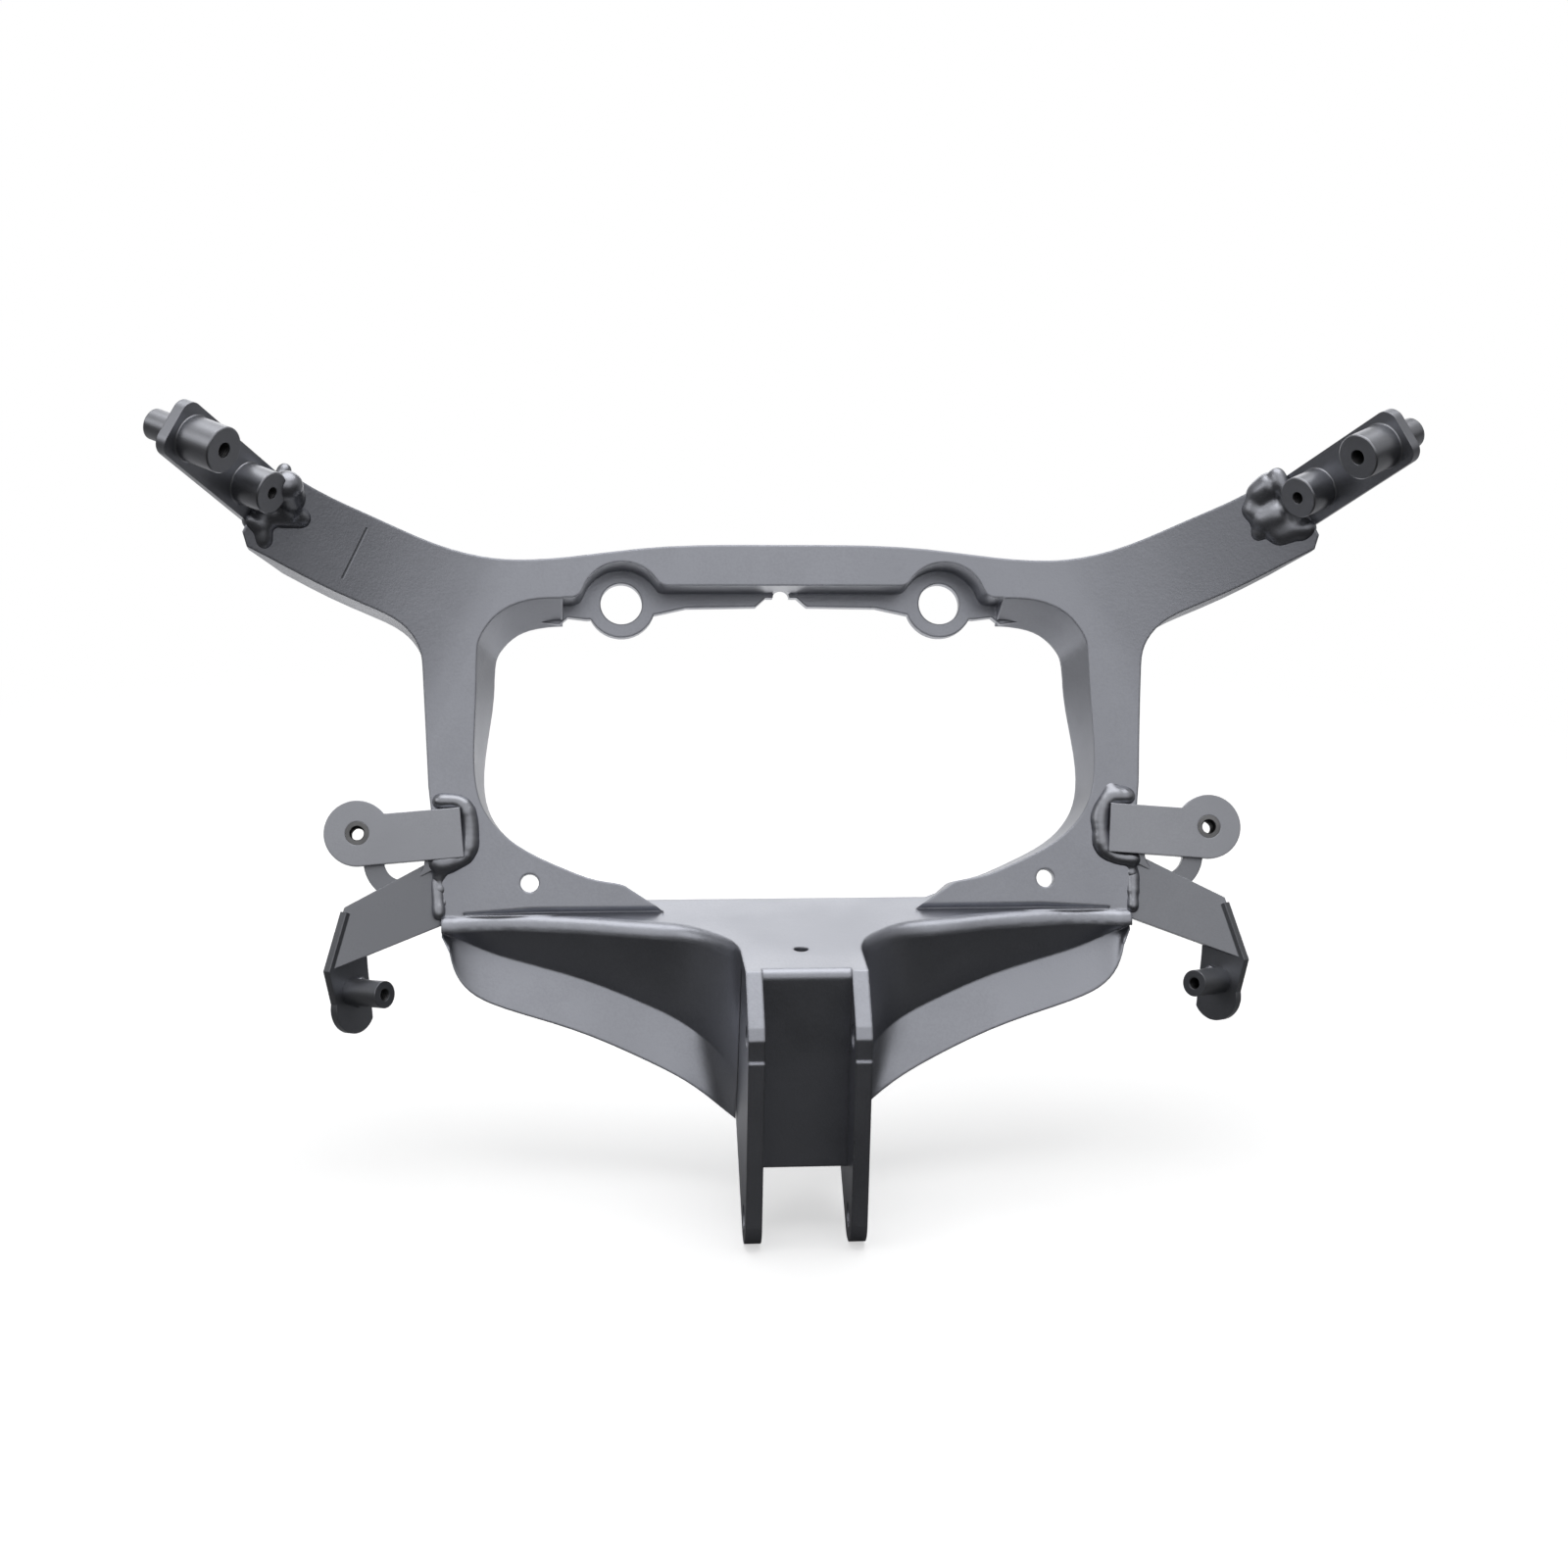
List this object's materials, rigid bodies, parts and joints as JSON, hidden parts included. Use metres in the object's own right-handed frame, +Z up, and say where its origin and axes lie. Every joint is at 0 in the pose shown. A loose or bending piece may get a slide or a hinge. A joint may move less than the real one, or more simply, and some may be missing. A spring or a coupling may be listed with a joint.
{
  "type": "motorcycle fairing stay",
  "caption": "Cast fairing stay for a motorcycle: open instrument ring, clevis stem, curved beams, swept arms with mirror plates, side tabs and lower brackets.",
  "frame": {"origin": "on the upper head bolt's axis, midway between the clevis's ears", "axes": "+X across the part to the side seen on the right of the picture, +Y away from the rider, +Z up, square to the flat deck"},
  "size_m": [0.4306, 0.1453, 0.2711],
  "materials": {
    "casting_paint": "satin grey paint over a cast surface",
    "plate_paint": "satin grey paint over plate",
    "boss_paint": "satin grey paint over turned metal",
    "bracket_paint": "satin grey paint over sheet",
    "insert_steel": "dull grey",
    "weld_paint": "satin grey paint over lumpy weld beads"
  },
  "bodies": {
    "root": {"frame_casting": "casting_paint", "mirror_plate_right": "plate_paint", "mirror_plate_left": "plate_paint", "outer_boss_right": "boss_paint", "outer_boss_left": "boss_paint", "inner_boss_right": "boss_paint", "inner_boss_left": "boss_paint", "locating_peg_right": "boss_paint", "locating_peg_left": "boss_paint", "side_tab_right": "plate_paint", "side_tab_left": "plate_paint", "tab_insert_right": "insert_steel", "tab_insert_left": "insert_steel", "lower_bracket_right": "bracket_paint", "lower_bracket_left": "bracket_paint", "bracket_standoff_right": "bracket_paint", "bracket_standoff_left": "bracket_paint", "arm_weld_right": "weld_paint", "arm_weld_left": "weld_paint", "tab_weld_right": "weld_paint", "tab_weld_left": "weld_paint", "bracket_weld_right": "weld_paint", "bracket_weld_left": "weld_paint", "standoff_weld_right": "bracket_paint", "standoff_weld_left": "bracket_paint"}
  },
  "joints": []
}
